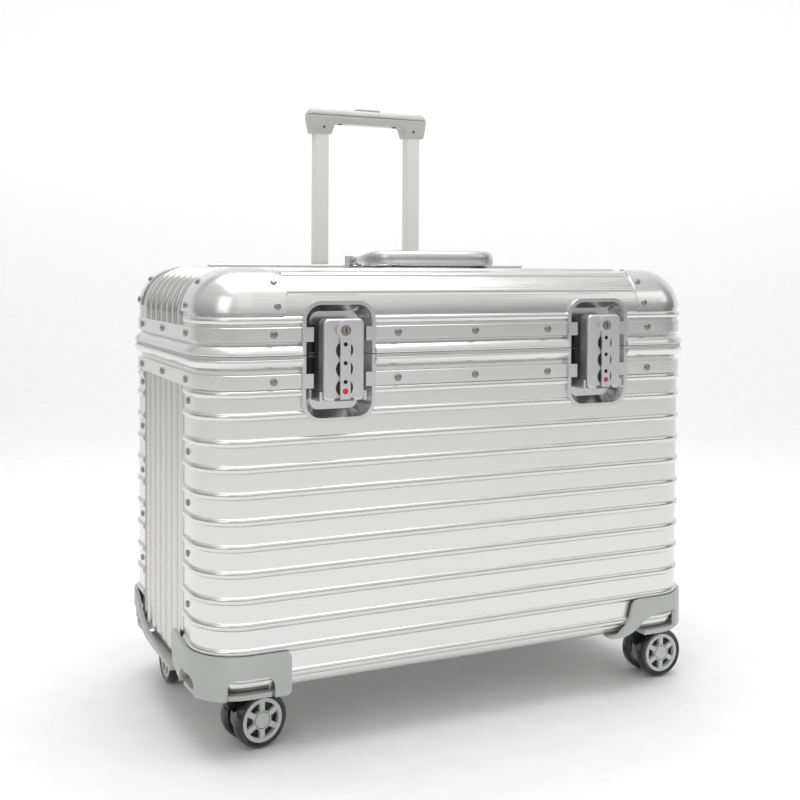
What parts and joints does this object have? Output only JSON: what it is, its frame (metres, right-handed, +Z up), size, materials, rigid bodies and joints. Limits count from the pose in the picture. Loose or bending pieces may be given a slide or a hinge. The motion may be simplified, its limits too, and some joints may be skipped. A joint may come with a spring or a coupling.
{
  "type": "hard shell suitcase",
  "caption": "Ribbed metal shell suitcase with hinged lid, combination latches, carry handle, telescopic trolley handle and swivelling twin-wheel casters.",
  "frame": {"origin": "on the floor under the middle of the case, where the wheels stand", "axes": "+X to the right along the front, front faces -Y, +Z up"},
  "size_m": [0.5006, 0.2856, 0.5718],
  "materials": {
    "shell_sheet": "brushed, ribbed sheet",
    "frame_metal": "satin extruded moulding",
    "cap_metal": "polished pressed sheet",
    "rivet_metal": "bright domed rivets",
    "latch_plate": "satin pressed plate",
    "latch_metal": "satin silver cast lever",
    "key_brass": "turned brass",
    "dial_black": "black moulded discs",
    "handle_silver": "satin silver",
    "hinge_steel": "rolled hinge",
    "gasket": "pale seal",
    "guard_plastic": "pale grey-green moulding",
    "grip_plastic": "pale grey-green moulding",
    "tube_metal": "satin tube",
    "lining_fabric": "woven lining",
    "fork_black": "black moulding",
    "tyre_black": "glossy black tread",
    "rim_grey": "light grey moulding"
  },
  "bodies": {
    "case": {"back_shell": "shell_sheet", "base_frame": "frame_metal", "base_lining": "lining_fabric", "bottom_panel": "shell_sheet", "case_rivets": "rivet_metal", "corner_guard_back_left": "guard_plastic", "corner_guard_back_right": "guard_plastic", "corner_guard_front_left": "guard_plastic", "corner_guard_front_right": "guard_plastic", "front_shell": "shell_sheet", "hinge_leaf_deck": "hinge_steel", "hinge_pin": "hinge_steel", "latch_plates_lower": "latch_plate", "left_side_panel": "shell_sheet", "rear_corner_caps": "cap_metal", "rear_deck_frame": "frame_metal", "rear_deck_shell": "shell_sheet", "right_side_panel": "shell_sheet", "rim_gasket": "gasket", "trolley_bezel": "grip_plastic", "trolley_outer_tubes": "tube_metal", "trolley_well": "shell_sheet"},
    "lid": {"handle_brackets": "hinge_steel", "hinge_leaf_lid": "hinge_steel", "latch_plates_upper": "latch_plate", "lid_corner_caps": "cap_metal", "lid_frame": "frame_metal", "lid_lining": "lining_fabric", "lid_rivets": "rivet_metal", "lid_side_panels": "shell_sheet", "lid_top_shell": "shell_sheet"},
    "carry_handle": {"carry_handle": "handle_silver"},
    "trolley_mid": {"trolley_mid_tubes": "tube_metal"},
    "trolley_inner": {"trolley_grip": "grip_plastic", "trolley_inner_tubes": "tube_metal"},
    "trolley_button": {"trolley_button": "grip_plastic"},
    "caster_swivel_back_left": {"caster_fork_back_left": "fork_black"},
    "caster_swivel_back_right": {"caster_fork_back_right": "fork_black"},
    "caster_swivel_front_left": {"caster_fork_front_left": "fork_black"},
    "caster_swivel_front_right": {"caster_fork_front_right": "fork_black"},
    "caster_wheels_back_left": {"caster_rims_back_left": "rim_grey", "caster_tyres_back_left": "tyre_black"},
    "caster_wheels_back_right": {"caster_rims_back_right": "rim_grey", "caster_tyres_back_right": "tyre_black"},
    "caster_wheels_front_left": {"caster_rims_front_left": "rim_grey", "caster_tyres_front_left": "tyre_black"},
    "caster_wheels_front_right": {"caster_rims_front_right": "rim_grey", "caster_tyres_front_right": "tyre_black"},
    "key_cylinder_left": {"key_cylinder_left": "key_brass"},
    "key_cylinder_right": {"key_cylinder_right": "key_brass"},
    "latch_dial_left_1": {"latch_dial_left_1": "dial_black"},
    "latch_dial_left_2": {"latch_dial_left_2": "dial_black"},
    "latch_dial_left_3": {"latch_dial_left_3": "dial_black"},
    "latch_dial_right_1": {"latch_dial_right_1": "dial_black"},
    "latch_dial_right_2": {"latch_dial_right_2": "dial_black"},
    "latch_dial_right_3": {"latch_dial_right_3": "dial_black"},
    "latch_lever_left": {"latch_lever_left": "latch_metal"},
    "latch_lever_right": {"latch_lever_right": "latch_metal"}
  },
  "joints": [
    {"name": "lid_hinge", "type": "hinge", "parent": "case", "child": "lid", "pos_m": [0, 0.084, 0.4049], "axis": [1, 0, 0], "range_deg": [-84, 0]},
    {"name": "carry_handle_pivot", "type": "hinge", "parent": "lid", "child": "carry_handle", "pos_m": [0, 0, 0.411], "axis": [-1, 0, 0], "range_deg": [0, 95]},
    {"name": "trolley_mid_slide", "type": "slide", "parent": "case", "child": "trolley_mid", "axis": [0, 0, 1], "range_m": [0, 0.28]},
    {"name": "trolley_inner_slide", "type": "slide", "parent": "trolley_mid", "child": "trolley_inner", "axis": [0, 0, 1], "range_m": [-0.135, 0.14]},
    {"name": "trolley_button_press", "type": "slide", "parent": "trolley_inner", "child": "trolley_button", "axis": [0, 0, -1], "range_m": [0, 0.0015], "stiffness_N_per_m": 600, "springref_m": -0.002},
    {"name": "latch_left_lever", "type": "hinge", "parent": "case", "child": "latch_lever_left", "pos_m": [-0.13, -0.1385, 0.298], "axis": [1, 0, 0], "range_deg": [0, 95]},
    {"name": "latch_left_key", "type": "hinge", "parent": "latch_lever_left", "child": "key_cylinder_left", "pos_m": [-0.13, -0.147, 0.3525], "axis": [0, 1, 0], "range_deg": [0, 90]},
    {"name": "latch_left_dial_1_turn", "type": "hinge", "parent": "latch_lever_left", "child": "latch_dial_left_1", "pos_m": [-0.13, -0.143, 0.336], "axis": [0, 1, 0], "continuous": true},
    {"name": "latch_left_dial_2_turn", "type": "hinge", "parent": "latch_lever_left", "child": "latch_dial_left_2", "pos_m": [-0.13, -0.143, 0.3205], "axis": [0, 1, 0], "continuous": true},
    {"name": "latch_left_dial_3_turn", "type": "hinge", "parent": "latch_lever_left", "child": "latch_dial_left_3", "pos_m": [-0.13, -0.143, 0.305], "axis": [0, 1, 0], "continuous": true},
    {"name": "latch_right_lever", "type": "hinge", "parent": "case", "child": "latch_lever_right", "pos_m": [0.13, -0.1385, 0.298], "axis": [1, 0, 0], "range_deg": [0, 95]},
    {"name": "latch_right_key", "type": "hinge", "parent": "latch_lever_right", "child": "key_cylinder_right", "pos_m": [0.13, -0.147, 0.3525], "axis": [0, 1, 0], "range_deg": [0, 90]},
    {"name": "latch_right_dial_1_turn", "type": "hinge", "parent": "latch_lever_right", "child": "latch_dial_right_1", "pos_m": [0.13, -0.143, 0.336], "axis": [0, 1, 0], "continuous": true},
    {"name": "latch_right_dial_2_turn", "type": "hinge", "parent": "latch_lever_right", "child": "latch_dial_right_2", "pos_m": [0.13, -0.143, 0.3205], "axis": [0, 1, 0], "continuous": true},
    {"name": "latch_right_dial_3_turn", "type": "hinge", "parent": "latch_lever_right", "child": "latch_dial_right_3", "pos_m": [0.13, -0.143, 0.305], "axis": [0, 1, 0], "continuous": true},
    {"name": "caster_front_left_swivel", "type": "hinge", "parent": "case", "child": "caster_swivel_front_left", "pos_m": [-0.208, -0.095, 0.052], "axis": [0, 0, 1], "continuous": true},
    {"name": "caster_front_left_roll", "type": "hinge", "parent": "caster_swivel_front_left", "child": "caster_wheels_front_left", "pos_m": [-0.19027, -0.09187, 0.0237], "axis": [-0.1736, 0.9848, 0], "continuous": true},
    {"name": "caster_front_right_swivel", "type": "hinge", "parent": "case", "child": "caster_swivel_front_right", "pos_m": [0.208, -0.095, 0.052], "axis": [0, 0, 1], "continuous": true},
    {"name": "caster_front_right_roll", "type": "hinge", "parent": "caster_swivel_front_right", "child": "caster_wheels_front_right", "pos_m": [0.226, -0.095, 0.0237], "axis": [0, 1, 0], "continuous": true},
    {"name": "caster_back_left_swivel", "type": "hinge", "parent": "case", "child": "caster_swivel_back_left", "pos_m": [-0.208, 0.095, 0.052], "axis": [0, 0, 1], "continuous": true},
    {"name": "caster_back_left_roll", "type": "hinge", "parent": "caster_swivel_back_left", "child": "caster_wheels_back_left", "pos_m": [-0.208, 0.077, 0.0237], "axis": [1, 0, 0], "continuous": true},
    {"name": "caster_back_right_swivel", "type": "hinge", "parent": "case", "child": "caster_swivel_back_right", "pos_m": [0.208, 0.095, 0.052], "axis": [0, 0, 1], "continuous": true},
    {"name": "caster_back_right_roll", "type": "hinge", "parent": "caster_swivel_back_right", "child": "caster_wheels_back_right", "pos_m": [0.22274, 0.10532, 0.0237], "axis": [-0.5736, 0.8192, 0], "continuous": true}
  ]
}
